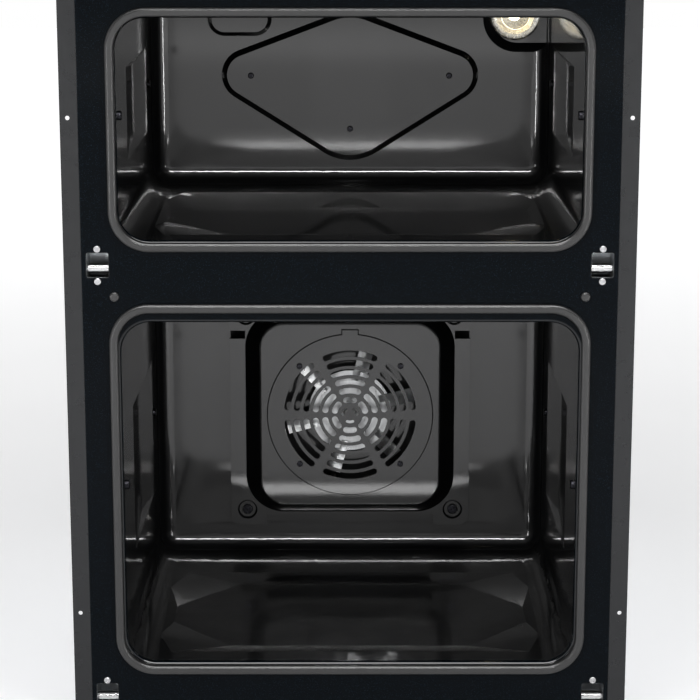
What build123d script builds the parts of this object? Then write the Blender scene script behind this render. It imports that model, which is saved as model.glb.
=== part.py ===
from build123d import *
import os
from math import cos, degrees, pi, radians, sin

# A built-in double oven with its doors lifted off: a small upper cavity and a large
# lower cavity behind one enamelled front frame, in a steel casing. Millimetres.
# X is across the front, +Y runs into the cabinet, +Z is up. The origin is at the
# middle of the underside. Depths are counted inward from the front frame's face.

# Overall sizes
overall_width = 594.0
overall_height = 888.0
casing_depth = 548.0
knob_reach = 45.0
gland_reach = 12.0
front_y = knob_reach - (knob_reach + casing_depth + gland_reach) / 2

# Sheet metal and running gaps
sheet = 1.2
thin_sheet = 1.0
liner_sheet = 1.2
loose_gap = 0.3
hole_gap = 0.1
running_gap = 0.05
snug_gap = 0.02

# Front frame
frame_half = 278.0
frame_low = 5.0
frame_high = 776.0
frame_flange = 18.0
frame_corner = 1.5
collar_depth = 8.0
lip_width = 6.0
lip_radius = 4.5

# Cavities
cavity_front_half = 238.5
cavity_back_half = 235.5
cavity_depth = 410.0
cavity_corner = 31.0
cavity_back_corner = 22.0
cavity_back_radius = 19.0
liner_split_depth = 397.0
upper_floor = 523.0
upper_opening_top = 751.0
upper_ceiling = 760.0
lower_floor = 64.0
lower_opening_top = 436.8
lower_ceiling = 446.0

# Door seals
seal_band = 9.5
seal_height = 8.0
seal_round = 3.2
seal_corner = 42.0
upper_seal_half = 248.6
upper_seal_low = 512.0
upper_seal_high = 762.0
lower_seal_half = 250.2
lower_seal_low = 52.5
lower_seal_high = 457.0

# Pressings in the floors and side walls
floor_dish_depth = 4.5
dish_tip_x = 195.0
dish_side_x = 211.0
dish_side_inset = 55.0
dish_flat_tip_x = 132.0
dish_flat_side_x = 200.0
upper_dish_near = 40.0
upper_dish_far = 332.0
upper_dish_near_slope = 30.0
upper_dish_far_slope = 84.0
lower_dish_near = 34.0
lower_dish_far = 308.0
lower_dish_near_slope = 31.0
lower_dish_far_slope = 29.0
wall_dish_depth = 4.5
wall_dish_near = 106.0
wall_dish_far = 328.0
wall_dish_deep_near = 210.0
wall_dish_deep_far = 228.0
wall_dish_slope = 9.0
upper_wall_dish_low = 594.0
upper_wall_dish_high = 692.0
lower_wall_dish_low = 158.0
lower_wall_dish_high = 321.0

# Pressings in the upper back wall
press_angle = 50.0
kite_height = 5.5
kite_half = 191.5
kite_side_z = 660.0
kite_low_z = 540.0
kite_high_z = 732.0
kite_side_radius = 31.0
kite_end_radius = 60.0
lamp_pad_height = 10.0
lamp_pad_near_x = 158.0
lamp_pad_low_z = 680.0
lamp_pad_corner = 40.0
probe_pad_height = 4.0
probe_pad_x = -131.0
probe_pad_half = 38.0
probe_pad_low_z = 699.0
probe_pad_high_z = 752.0
probe_pad_corner = 20.0
probe_pad_top_corner = 6.0

# Lamps
upper_lamp_x = 195.0
upper_lamp_z = 725.0
lower_lamp_x = 184.0
lower_lamp_z = 395.0
lamp_tube_radius = 23.6
lamp_tube_wall = 1.2
lamp_tube_length = 48.0
lamp_flange_radius = 27.0
lamp_flange_thickness = 1.2
lens_radius = 30.0
lens_rim = 2.0
lens_shoulder_radius = 25.5
lens_shoulder_height = 5.8
lens_height = 9.0
lens_dome = 1.5
lens_glass = 2.5
lens_disc_radius = 17.0
lens_step = 1.5
lens_step_lean = 0.5
socket_radius = 12.0
socket_length = 11.0
bulb_radius = 9.0
bulb_length = 28.0
bulb_tip = 0.5
bulb_foot_radius = 6.0
bulb_foot_length = 5.0

# Fan cover in front of the lower back wall
fan_z = 246.0
cover_front = 380.0
cover_sheet = 1.0
cover_half = 146.0
cover_low = 102.0
cover_high = 390.0
cover_corner = 12.0
cover_rim_gap = 0.3
notch_half = 102.0
notch_height = 14.0
raised_root_half = 127.0
raised_root_low = 119.5
raised_root_high = 372.5
raised_root_corner = 46.0
raised_height = 16.0
raised_side_inset = 18.5
raised_corner = 30.0
raised_end_inset = 13.0
raised_round = 5.0
cover_disc_radius = 100.8
cover_disc_rise = 1.2
cover_disc_angle = 45.0
disc_tab_half = 10.4
disc_tab_height = 11.0
slot_rings = 6
slot_outer_radius = 76.5
slot_ring_pitch = 11.5
slot_width = 7.4
slots_per_ring = 6
slot_bridge_angle = 9.5
centre_slot_radius = 8.6
centre_slot_width = 3.6
centre_slots = 3
centre_bridge_angle = 52.0
vent_count = 7
vent_low = 150.0
vent_pitch = 30.0
vent_height = 20.0
vent_depth = 12.0
wing_slot_near_x = 127.0
wing_slot_low = 337.0
wing_slot_high = 347.0
wing_slot_depth = 3.5
dimple_x = 126.0
dimple_low_z = 122.0
dimple_high_z = 366.0
dimple_radius = 13.0
dimple_depth = 3.5
dimple_angle = 30.0

# Screws
small_head_radius = 3.6
small_head_height = 2.2
small_shank_radius = 1.6
small_shank_length = 5.0
large_head_radius = 6.2
large_head_height = 3.4
large_shank_radius = 2.5
screw_recess_radius = 1.5
screw_recess_depth = 1.2
kite_screw_x = 118.0
kite_screw_z = 652.5
kite_low_screw_z = 589.0
cover_screw_offset = 61.0
casing_head_radius = 3.6
casing_head_height = 2.0
casing_shank_radius = 1.9
casing_shank_length = 5.0
rear_screw_low = 60.0
rear_screw_margin = 35.0
rear_screw_rows = 4
top_screw_near = 60.0
top_screw_margin = 48.0
top_screw_rows = 3

# Fan
fan_shaft_radius = 4.0
fan_shaft_near = 371.5
fan_shaft_far = 486.0
fan_wall_hole = 9.0
impeller_depth = 387.0
impeller_radius = 79.0
impeller_disc_radius = 50.0
impeller_sheet = 1.2
impeller_hub_radius = 12.0
impeller_hub_length = 17.0
impeller_dome_height = 4.0
blade_count = 6
blade_root = 38.0
blade_width = 18.0
blade_pitch = 16.0
blade_first_angle = 15.0
fan_nut_flat_radius = 7.5
fan_nut_height = 5.0
fan_nut_chamfer = 0.6

# Fan motor and its bracket
bracket_half = 60.0
bracket_plate_depth = 450.0
bracket_foot = 14.0
bracket_sheet = 1.5
motor_bearing_radius = 20.0
motor_bearing_length = 9.0
motor_core_width = 76.0
motor_core_height = 62.0
motor_core_length = 24.0
motor_coil_width = 40.0
motor_coil_height = 22.0
motor_coil_length = 36.0
motor_round = 5.0

# Heating elements
element_radius = 3.25
ring_element_depth = 394.0
ring_element_inner = 91.0
ring_element_outer = 105.0
ring_element_gap_angle = 26.0
element_tail_depth = 440.0
element_plate_margin = 11.0
element_plate_rise = 3.0
element_plate_sheet = 2.0
grill_z = 751.5
grill_tail_z = 738.0
grill_tail_x = 38.0
grill_drop_near = 350.0
grill_drop_far = 388.0
grill_half = 190.0
grill_near = 70.0
grill_far = 340.0
grill_pitch = 76.0
grill_bend = 22.0
grill_strap_depth = 120.0
grill_strap_width = 12.0
base_element_half = 160.0
base_element_near = 80.0
base_element_far = 330.0
base_element_bend = 13.0
base_element_run = 80.0
base_element_tongue = 160.0
base_element_tail_x = 34.0

# Temperature probes
probe_radius = 2.5
probe_length = 104.0
probe_tail = 16.0
probe_flange_radius = 8.0
probe_flange_thickness = 1.6
upper_probe_z = 735.0
lower_probe_x = -168.0
lower_probe_z = 420.0

# Rack studs on the side walls
stud_near = 30.0
stud_far = 345.0
upper_stud_z = 649.0
lower_stud_z = 254.0
stud_radius = 5.0
stud_length = 3.0
stud_round = 1.8
stud_bore = 1.7
stud_tail_radius = 3.0
stud_tail_length = 5.0
stud_seat_gap = 0.06

# Insulation
wool_half = 262.0
wool_near = 50.0
wool_rear = 426.0
wool_fit = 0.4
wool_clear = 3.0
wool_room_half = 218.0
wool_room_far = 380.0
upper_wool_low = 498.0
lower_wool_low = 40.0
lower_wool_high = 470.0
element_room = 13.0

# Door hinge receivers
hinge_x = 261.0
upper_hinge_z = 497.5
lower_hinge_z = 27.0
hinge_slot_half = 11.5
hinge_slot_half_height = 13.0
hinge_slot_corner = 2.0
receiver_half = 13.3
receiver_half_height = 20.5
receiver_front_sheet = 2.0
receiver_cheek = 1.5
receiver_rim = 4.0
receiver_length = 36.0
roller_radius = 5.5
roller_half = 11.3
roller_depth = 12.0
roller_lift = -5.0
roller_round = 0.8
hinge_pin_radius = 2.5
hinge_screw_offset = 17.0

# Door buffers
buffer_x = 244.0
buffer_z = 464.4
buffer_radius = 5.0
buffer_height = 3.5
buffer_stem_radius = 2.5
buffer_stem_length = 6.0

# Side trims and cabinet screw holes
trim_reach = 296.0
trim_flange_depth = 16.0
cabinet_hole_x = 288.0
cabinet_hole_low = 120.0
cabinet_hole_high = 650.0
cabinet_hole_radius = 2.25

# Casing
casing_top = 875.0
panel_near = 6.0
panel_edge_flange = 14.0
panel_rib_depth = 3.0
runner_x = 215.0
runner_width = 26.0
runner_near = 30.0
runner_far = 520.0
base_flange_top = 20.0
top_cover_near = 26.0
rib_margin = 75.0
rib_corner = 20.0
rib_lows = (80.0, 440.0)
rib_highs = (400.0, 740.0)

# Heat shield, air duct and cooling blower
shield_z = 789.0
shield_flange = 10.0
duct_half = 235.0
duct_low = 776.5
duct_far = 400.0
duct_flange = 10.0
blower_depth = 368.0
blower_z = 830.0
blower_half = 120.0
blower_radius = 36.0
blower_throat = 15.0
blower_foot = 14.0
blower_inlet_inset = 4.0
blower_inlet_high = 30.0
blower_motor_foot = 16.0
blower_motor_foot_inset = 6.0
blower_wheel_radius = 30.0
blower_wheel_hub = 25.0
blower_blades = 18
blower_blade_sheet = 1.0
blower_blade_tilt = 28.0
blower_end_gap = 4.0
blower_shaft_radius = 3.0
blower_motor_half = 25.0
blower_motor_near = 128.0
blower_motor_far = 168.0

# Control panel
panel_low = 790.0
panel_depth = 22.0
panel_wall = 1.5
panel_corner = 3.0
bracket_high = 872.0
bracket_flange = 19.0
post_radius = 4.0
post_x = 100.0
post_end_x = 268.0
post_low_z = 802.0
post_high_z = 864.0
knob_z = 842.0
knob_outer_x = 230.0
knob_inner_x = 150.0
knob_skirt_radius = 22.0
knob_skirt_height = 3.4
knob_radius = 17.5
knob_front_radius = 15.5
knob_gap = 0.6
knob_round = 1.6
knob_mark_width = 1.6
knob_mark_depth = 0.6
knob_mark_length = 12.0
spindle_radius = 3.0
spindle_depth_in_switch = 13.0
spindle_depth_in_knob = 12.0
spindle_hole = 5.0
switch_half = 17.0
switch_length = 28.0
switch_corner = 3.0
tab_spacing = 20.0
tab_length = 7.0
tab_half_width = 2.0
tab_half_thickness = 0.5
window_half = 65.0
window_low = 826.0
window_high = 868.0
window_corner = 2.0
window_rim = 4.0
window_rim_thickness = 1.5
module_half = 75.0
module_low = 803.0
module_high = 871.0
module_board = 1.6
module_board_depth = 9.0
module_case_depth = 18.5
module_case_inset = 3.0
module_post_inset_x = 8.0
module_post_inset_z = 6.0
module_post_radius = 3.0
button_z = 811.0
button_pitch = 30.0
button_half = 7.0
button_half_height = 3.4
button_corner = 2.0
button_reach = 2.5
button_travel = 1.5
button_round = 0.7
button_rim = 1.8
button_rim_sheet = 1.0
button_stem_radius = 2.0
button_stem_length = 5.0
switch_cap_half = 3.0

# Terminal block and cable gland at the rear
terminal_x = -220.0
terminal_z = 832.0
terminal_half = 20.0
terminal_half_height = 18.0
terminal_depth = 26.0
terminal_ways = 3
terminal_pitch = 11.0
terminal_way_radius = 2.6
terminal_round = 2.0
gland_x = -165.0
gland_radius = 9.0
gland_bore = 5.5
gland_flange_radius = 13.0
gland_flange_thickness = 3.0
gland_nut_radius = 13.0
gland_nut_height = 4.0
gland_thread = 4.0
gland_round = 2.0

# Vents in the rear cover and top cover
rear_vent_rows = 5
rear_vent_columns = 4
rear_vent_length = 70.0
rear_vent_height = 5.0
rear_vent_pitch_x = 100.0
rear_vent_pitch_z = 13.0
rear_vent_low = 790.0
rear_vent_x = 80.0
motor_vent_z = 246.0
motor_vent_count = 7
motor_vent_length = 110.0
top_vent_count = 6
top_vent_length = 60.0
top_vent_width = 6.0
top_vent_pitch = 72.0
top_vent_depth = 478.0


def depth_plane(depth):
    """Upright plane at a depth. Local x is across, local y is up, normal to the front."""
    return Plane(origin=(0, front_y + depth, 0), x_dir=(1, 0, 0), z_dir=(0, -1, 0))


def slab(outline, near, far):
    """An outline drawn on the front, given thickness from one depth to another."""
    return extrude(depth_plane(far) * outline, far - near)


def block(low_x, high_x, near, far, low_z, high_z):
    centre = ((low_x + high_x) / 2, front_y + (near + far) / 2, (low_z + high_z) / 2)
    return Pos(*centre) * Box(high_x - low_x, far - near, high_z - low_z)


def window(half, low, high, radius):
    """A rounded opening outline, centred on the oven."""
    return Pos(0, (low + high) / 2) * RectangleRounded(2 * half, high - low, radius)


def disc(x, z, radius, near, far):
    """A round bar along the depth."""
    return slab(Pos(x, z) * Circle(radius), near, far)


def cross_bar(depth, z, radius, low_x, high_x):
    """A round bar across the oven."""
    plane = Plane(origin=(low_x, front_y + depth, z), x_dir=(0, 1, 0), z_dir=(1, 0, 0))
    return extrude(plane * Circle(radius), high_x - low_x)


def both_sides(shape):
    return [shape, mirror(shape, about=Plane.YZ)]


def spaced(low, high, count):
    """Evenly spaced places from one end to the other."""
    return [low + (high - low) * place / (count - 1) for place in range(count)]


def polygon(points):
    return make_face(Polyline(*points, close=True))


def press(outline, root_depth, height):
    """A pressed pad that stands forward of a plane, with sloping edges."""
    return extrude(depth_plane(root_depth) * outline, height, taper=press_angle)


def save(name, *shapes):
    solids = [solid for shape in shapes for solid in shape.solids()]
    whole = solids[0] if len(solids) == 1 else Compound(children=solids)
    export_step(whole, f"parts/{name}.step")


# Cavity liners


def cavity_form(floor, ceiling, grow):
    """The room inside a liner, grown outward on every side."""
    low, high = floor - grow, ceiling + grow
    mouth = window(cavity_front_half + grow, low, high, cavity_corner + grow)
    end = window(cavity_back_half + grow, low, high, cavity_back_corner + grow)
    near = depth_plane(collar_depth) * mouth
    far = depth_plane(cavity_depth + grow) * end
    form = loft([near, far], ruled=True)
    rim = form.faces().sort_by(Axis.Y)[-1].edges()
    return fillet(rim, cavity_back_radius + grow)


def wall_x(depth):
    """Distance of a side wall's inner face from the middle at a depth."""
    share = (depth - collar_depth) / (cavity_depth - collar_depth)
    return cavity_front_half + (cavity_back_half - cavity_front_half) * share


def floor_dish(floor, near, far, near_slope, far_slope):
    """A shallow pressed dish. Its sloping border fades out at the four corners."""
    inset = dish_side_inset
    outer = [(dish_tip_x, near), (dish_side_x, near + inset)]
    outer += [(dish_side_x, far - inset), (dish_tip_x, far)]
    inner = [(dish_flat_tip_x, near + near_slope), (dish_flat_side_x, near + 2 * inset)]
    inner += [(dish_flat_side_x, far - 2 * inset), (dish_flat_tip_x, far - far_slope)]
    plane = Plane(origin=(0, front_y, floor), x_dir=(1, 0, 0), z_dir=(0, 0, -1))
    rims = []
    for points in (outer, inner):
        ring = [(x, -depth) for x, depth in points]
        rims.append(polygon(ring + [(-x, y) for x, y in reversed(ring)]))
    return loft([plane * rims[0], plane.offset(floor_dish_depth) * rims[1]], ruled=True)


def wall_dish(low, high):
    """A shallow hipped pressing in a side wall, on the right side."""
    run = cavity_depth - collar_depth
    fall = cavity_back_half - cavity_front_half
    plane = Plane(
        origin=(cavity_front_half, front_y + collar_depth, 0),
        x_dir=(fall, run, 0),
        z_dir=(run, -fall, 0),
    )
    near, far = wall_dish_near - collar_depth, wall_dish_far - collar_depth
    deep_near, deep_far = wall_dish_deep_near - collar_depth, wall_dish_deep_far - collar_depth
    outer = polygon([(near, low), (far, low), (far, high), (near, high)])
    deep_low, deep_high = low + wall_dish_slope, high - wall_dish_slope
    inner = polygon(
        [(deep_near, deep_low), (deep_far, deep_low), (deep_far, deep_high), (deep_near, deep_high)]
    )
    return loft([plane * outer, plane.offset(wall_dish_depth) * inner], ruled=True)


def liner_shell(floor, ceiling, opening_top, dish, wall, pads, corner_pads):
    """Sheet liner with its pressings, from the frame's collar to behind the back wall."""
    inner = cavity_form(floor, ceiling, 0)
    outer = cavity_form(floor, ceiling, liner_sheet)
    behind = Pos(0, liner_sheet, 0) * inner
    walls = both_sides(wall)
    outer = outer + Pos(0, 0, -liner_sheet) * dish
    outer = outer + Pos(liner_sheet, 0, 0) * walls[0] + Pos(-liner_sheet, 0, 0) * walls[1]
    inner = inner + dish + walls[0] + walls[1]
    for pad in pads:
        inner = inner - pad
        outer = outer - ((Pos(0, liner_sheet, 0) * pad) & behind)
    for pad in corner_pads:
        inner = inner - pad
        outer = outer - Pos(0, liner_sheet, 0) * pad
    wide, low, high = cavity_front_half + lip_width, opening_top - cavity_corner, ceiling + lip_width
    above = polygon([(-wide, low), (wide, low), (wide, high), (-wide, high)])
    opening = window(cavity_front_half, floor, opening_top, cavity_corner)
    lintel = slab(above - opening, collar_depth, collar_depth + liner_sheet)
    return outer - (inner - lintel)


def cut_at_split(shell):
    """The liner in front of the split, and the back wall behind it."""
    wide, high = overall_width, overall_height
    front = block(-wide, wide, 0, liner_split_depth, 0, high)
    rear = block(-wide, wide, liner_split_depth, casing_depth, 0, high)
    return shell & front, shell & rear


def stud_holes(z):
    holes = []
    for depth in (stud_near, stud_far):
        reach = wall_x(depth) + stud_tail_length
        radius = stud_tail_radius + hole_gap
        holes += [cross_bar(depth, z, radius, -reach, reach)]
    return holes


def kite_pad():
    points = [(-kite_half, kite_side_z), (0, kite_low_z), (kite_half, kite_side_z), (0, kite_high_z)]
    face = polygon(points)
    sides = [v for v in face.vertices() if abs(v.X) > kite_half / 2]
    face = fillet(sides, kite_side_radius)
    ends = [v for v in face.vertices() if abs(v.X) < 1]
    face = fillet(ends, kite_end_radius)
    return press(face, cavity_depth, kite_height)


def lamp_pad():
    far_x, high = cavity_front_half + lip_width, upper_ceiling + lip_width
    points = [(lamp_pad_near_x, lamp_pad_low_z), (far_x, lamp_pad_low_z), (far_x, high)]
    face = polygon(points + [(lamp_pad_near_x, high)])
    corner = face.vertices().sort_by(lambda v: v.X + v.Y)[0]
    face = fillet(corner, lamp_pad_corner)
    return press(face, cavity_depth, lamp_pad_height)


def probe_pad():
    low_x, high_x = probe_pad_x - probe_pad_half, probe_pad_x + probe_pad_half
    low, high = probe_pad_low_z, probe_pad_high_z
    face = polygon([(low_x, low), (high_x, low), (high_x, high), (low_x, high)])
    face = fillet([v for v in face.vertices() if v.Y < (low + high) / 2], probe_pad_corner)
    face = fillet([v for v in face.vertices() if v.Y > high - 1], probe_pad_top_corner)
    return press(face, cavity_depth, probe_pad_height)


kite_screw_places = [(-kite_screw_x, kite_screw_z), (kite_screw_x, kite_screw_z)]
kite_screw_places += [(0, kite_low_screw_z)]
dimple_places = [(x, z) for x in (-dimple_x, dimple_x) for z in (dimple_low_z, dimple_high_z)]
kite_face = cavity_depth - kite_height
lamp_seat = cavity_depth - lamp_pad_height
probe_seat = cavity_depth - probe_pad_height
element_hole = element_radius + loose_gap


def make_upper_liner():
    dish = floor_dish(
        upper_floor, upper_dish_near, upper_dish_far, upper_dish_near_slope, upper_dish_far_slope
    )
    wall = wall_dish(upper_wall_dish_low, upper_wall_dish_high)
    pads, corner_pads = [kite_pad(), probe_pad()], [lamp_pad()]
    shell = liner_shell(upper_floor, upper_ceiling, upper_opening_top, dish, wall, pads, corner_pads)
    deep = cavity_depth + 2 * liner_sheet
    cuts = [disc(x, z, small_shank_radius + hole_gap, 0, deep) for x, z in kite_screw_places]
    cuts += [disc(upper_lamp_x, upper_lamp_z, lamp_tube_radius + hole_gap, 0, deep)]
    cuts += [disc(probe_pad_x, upper_probe_z, probe_radius + hole_gap, 0, deep)]
    cuts += [disc(x, grill_tail_z, element_hole, 0, deep) for x in (-grill_tail_x, grill_tail_x)]
    liner, back = cut_at_split(shell - (cuts + stud_holes(upper_stud_z)))
    save("upper_liner", liner)
    save("upper_back_wall", back)


def make_lower_liner():
    dish = floor_dish(
        lower_floor, lower_dish_near, lower_dish_far, lower_dish_near_slope, lower_dish_far_slope
    )
    wall = wall_dish(lower_wall_dish_low, lower_wall_dish_high)
    shell = liner_shell(lower_floor, lower_ceiling, lower_opening_top, dish, wall, [], [])
    deep = cavity_depth + 2 * liner_sheet
    cuts = [disc(lower_lamp_x, lower_lamp_z, lamp_tube_radius + hole_gap, 0, deep)]
    cuts += [disc(lower_probe_x, lower_probe_z, probe_radius + hole_gap, 0, deep)]
    cuts += [disc(0, fan_z, fan_wall_hole, 0, deep)]
    cuts += [disc(x, z, element_hole, 0, deep) for x, z in ring_element_tails()]
    cuts += [disc(x, z, large_shank_radius + hole_gap, 0, deep) for x, z in dimple_places]
    liner, back = cut_at_split(shell - (cuts + stud_holes(lower_stud_z)))
    save("lower_liner", liner)
    save("lower_back_wall", back)


# Front frame, seals and buffers


def lip(half, low, high):
    """The rounded edge and inward collar of one opening."""
    hole = window(half, low, high, cavity_corner)
    around = window(half + lip_width, low - lip_width, high + lip_width, cavity_corner + lip_width)
    ring = slab(around - hole, 0, lip_width)
    edge = ring.faces().sort_by(Axis.Y)[0].inner_wires()[0].edges()
    ring = fillet(edge, lip_radius)
    sleeve = window(half + sheet, low - sheet, high + sheet, cavity_corner + sheet)
    return ring + slab(sleeve - hole, lip_width, collar_depth)


def make_front_frame():
    low, high = frame_low, frame_high
    plate = slab(window(frame_half, low, high, frame_corner), 0, sheet)
    edge = window(frame_half, low, high, frame_corner)
    edge = edge - window(frame_half - sheet, low + sheet, high - sheet, frame_corner - sheet)
    plate = plate + slab(edge, 0, frame_flange)
    openings = [(upper_floor, upper_opening_top), (lower_floor, lower_opening_top)]
    for floor, top in openings:
        around = window(
            cavity_front_half + lip_width, floor - lip_width, top + lip_width, cavity_corner + lip_width
        )
        plate = plate - slab(around, -sheet, 2 * sheet) + lip(cavity_front_half, floor, top)
    for z in (upper_hinge_z, lower_hinge_z):
        for x in (-hinge_x, hinge_x):
            slot = RectangleRounded(2 * hinge_slot_half, 2 * hinge_slot_half_height, hinge_slot_corner)
            plate = plate - slab(Pos(x, z) * slot, -sheet, 2 * sheet)
            for offset in (-hinge_screw_offset, hinge_screw_offset):
                plate = plate - disc(x, z + offset, casing_shank_radius + hole_gap, -sheet, 2 * sheet)
    for x in (-buffer_x, buffer_x):
        plate = plate - disc(x, buffer_z, buffer_stem_radius + hole_gap, -sheet, 2 * sheet)
    save("front_frame", plate)


def seal(half, low, high):
    inner_corner = seal_corner - seal_band
    hole = window(half - seal_band, low + seal_band, high - seal_band, inner_corner)
    ring = slab(window(half, low, high, seal_corner) - hole, -seal_height, 0)
    front = ring.faces().sort_by(Axis.Y)[0].edges()
    return fillet(front, seal_round)


def door_buffer(x):
    head = disc(x, buffer_z, buffer_radius, -buffer_height, 0)
    head = fillet(head.edges().sort_by(Axis.Y)[0], buffer_height / 2)
    return head + disc(x, buffer_z, buffer_stem_radius, 0, buffer_stem_length)


def make_trims():
    strip = block(frame_half, trim_reach, 0, sheet, frame_low, frame_high)
    strip = strip + block(
        frame_half, frame_half + sheet, sheet, trim_flange_depth, frame_low, frame_high
    )
    for z in (cabinet_hole_low, cabinet_hole_high):
        strip = strip - disc(cabinet_hole_x, z, cabinet_hole_radius, -sheet, 2 * sheet)
    save("side_trims", *both_sides(strip))


# Door hinge receivers


def receiver(z):
    low_x, high_x = hinge_x - receiver_half, hinge_x + receiver_half
    low, high = z - receiver_half_height, z + receiver_half_height
    near = sheet + receiver_front_sheet
    far = sheet + receiver_length
    plate = block(low_x, high_x, sheet, near, low, high)
    slot = RectangleRounded(2 * hinge_slot_half, 2 * hinge_slot_half_height, hinge_slot_corner)
    plate = plate - slab(Pos(hinge_x, z) * slot, 0, 2 * near)
    for offset in (-hinge_screw_offset, hinge_screw_offset):
        plate = plate - disc(hinge_x, z + offset, casing_shank_radius + hole_gap, 0, 2 * near)
    low, high = low + receiver_rim, high - receiver_rim
    for side_x in (low_x, high_x - receiver_cheek):
        plate = plate + block(side_x, side_x + receiver_cheek, near, far, low, high)
    plate = plate + block(low_x, high_x, far - receiver_cheek, far, low, high)
    pin_hole = cross_bar(roller_depth, z + roller_lift, hinge_pin_radius + hole_gap, low_x, high_x)
    return plate - pin_hole


def roller(x, z):
    wheel = cross_bar(roller_depth, z + roller_lift, roller_radius, x - roller_half, x + roller_half)
    wheel = fillet(wheel.edges(), roller_round)
    bore = hinge_pin_radius + running_gap
    return wheel - cross_bar(roller_depth, z + roller_lift, bore, x - roller_half, x + roller_half)


def hinge_pin(z):
    low_x, high_x = hinge_x - receiver_half, hinge_x + receiver_half
    return cross_bar(roller_depth, z + roller_lift, hinge_pin_radius, low_x, high_x)


def make_hinges():
    heights = {"upper": upper_hinge_z, "lower": lower_hinge_z}
    sides = {"left": -1, "right": 1}
    receivers, pins, screws = [], [], []
    for level, z in heights.items():
        receivers += both_sides(receiver(z))
        pins += both_sides(hinge_pin(z))
        for side, sign in sides.items():
            save(f"{level}_{side}_hinge_roller", roller(sign * hinge_x, z))
            for offset in (-hinge_screw_offset, hinge_screw_offset):
                screws.append(front_screw(sign * hinge_x, z + offset, 0, casing_screw))
    save("hinge_receivers", *receivers)
    save("hinge_pins", *pins)
    save("hinge_screws", *screws)


# Screws

small_screw = (small_head_radius, small_head_height, small_shank_radius, small_shank_length)
large_screw = (large_head_radius, large_head_height, large_shank_radius, 0)
casing_screw = (casing_head_radius, casing_head_height, casing_shank_radius, casing_shank_length)


def front_screw(x, z, seat, size, shank_length=None):
    """A pan-head screw driven in from the front, its head seated at a depth."""
    head_radius, head_height, shank_radius, usual_length = size
    length = shank_length or usual_length
    head = disc(x, z, head_radius, seat - head_height, seat)
    head = fillet(head.edges().sort_by(Axis.Y)[0], head_height / 2)
    recess = disc(x, z, screw_recess_radius, seat - head_height, seat - head_height + screw_recess_depth)
    return head - recess + disc(x, z, shank_radius, seat, seat + length)


def turned(screw_shape, pivot, axis, angle):
    return Pos(*pivot) * Rot(*[angle * a for a in axis]) * Pos(*[-p for p in pivot]) * screw_shape


def rear_screw(x, z):
    """A casing screw driven in from behind."""
    seat = front_screw(0, z, casing_depth, casing_screw)
    pivot = (0, front_y + casing_depth, z)
    return Pos(x, 0, 0) * turned(seat, pivot, (0, 0, 1), 180)


def top_screw(x, depth):
    """A casing screw driven in from above."""
    z = casing_top + thin_sheet
    pivot = (0, front_y + depth, z)
    return Pos(x, 0, 0) * turned(front_screw(0, z, depth, casing_screw), pivot, (1, 0, 0), -90)


def side_screw(depth, z):
    """A casing screw driven in from the right."""
    x = frame_half - sheet
    pivot = (x, front_y + depth, z)
    return turned(front_screw(x, z, depth, casing_screw), pivot, (0, 0, 1), 90)


rear_screw_x = frame_half - sheet - panel_edge_flange / 2
rear_screw_heights = spaced(rear_screw_low, casing_top - rear_screw_margin, rear_screw_rows)
top_screw_depths = spaced(top_screw_near, casing_depth - top_screw_margin, top_screw_rows)
shield_screw_depths = (120.0, 400.0)
shield_screw_z = shield_z + thin_sheet + shield_flange / 2
panel_screw_depth = 12.0


def make_casing_screws():
    screws = []
    for z in rear_screw_heights:
        screws += both_sides(rear_screw(rear_screw_x, z))
    for depth in top_screw_depths:
        screws += both_sides(top_screw(rear_screw_x, depth))
    for depth in shield_screw_depths:
        screws += both_sides(side_screw(depth, shield_screw_z))
    screws += both_sides(side_screw(panel_screw_depth, knob_z))
    save("casing_screws", *screws)


# Lamps


def lamp_housing(x, z, seat):
    rim = disc(x, z, lamp_flange_radius, seat - lamp_flange_thickness, seat)
    tube = disc(x, z, lamp_tube_radius, seat, seat + lamp_tube_length)
    socket_far = seat + lamp_tube_length - lamp_tube_wall
    bore = lamp_tube_radius - lamp_tube_wall
    hollow = disc(x, z, bore, seat - lamp_flange_thickness, socket_far)
    return rim + tube - hollow + disc(x, z, socket_radius, socket_far - socket_length, socket_far)


def lamp_lens(x, z, seat):
    """A domed lens with a raised middle disc, on the housing's flange."""
    rise = lens_height - lens_step
    top = lens_height + lens_dome
    disc_edge = lens_disc_radius - lens_step_lean
    inner_edge = disc_edge - lens_step
    foot = lens_radius - lens_glass
    shoulder = (lens_shoulder_radius, lens_shoulder_height)
    profile = [
        Line((foot, 0), (lens_radius, 0)),
        Line((lens_radius, 0), (lens_radius, lens_rim)),
        ThreePointArc((lens_radius, lens_rim), shoulder, (lens_disc_radius, rise)),
        Line((lens_disc_radius, rise), (disc_edge, lens_height)),
        Line((disc_edge, lens_height), (0, top)),
        Line((0, top), (0, top - lens_glass)),
        Line((0, top - lens_glass), (inner_edge, rise - lens_glass)),
        Line((inner_edge, rise - lens_glass), (foot, 0)),
    ]
    centre = (x, front_y + seat - lamp_flange_thickness, z)
    plane = Plane(origin=centre, x_dir=(1, 0, 0), z_dir=(0, 0, -1))
    return revolve(plane * make_face(profile), Axis(centre, (0, 1, 0)))


def lamp_bulb(x, z, seat):
    far = seat + lamp_tube_length - lamp_tube_wall - socket_length
    near = far - bulb_foot_length
    glass = disc(x, z, bulb_radius, near - bulb_length, near)
    glass = fillet(glass.edges().sort_by(Axis.Y)[0], bulb_radius - bulb_tip)
    return glass + disc(x, z, bulb_foot_radius, near, far)


def make_lamps():
    places = [(upper_lamp_x, upper_lamp_z, lamp_seat), (lower_lamp_x, lower_lamp_z, cavity_depth)]
    save("lamp_housings", *[lamp_housing(*place) for place in places])
    save("lamp_lenses", *[lamp_lens(*place) for place in places])
    save("lamp_bulbs", *[lamp_bulb(*place) for place in places])


# Fan cover


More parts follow.
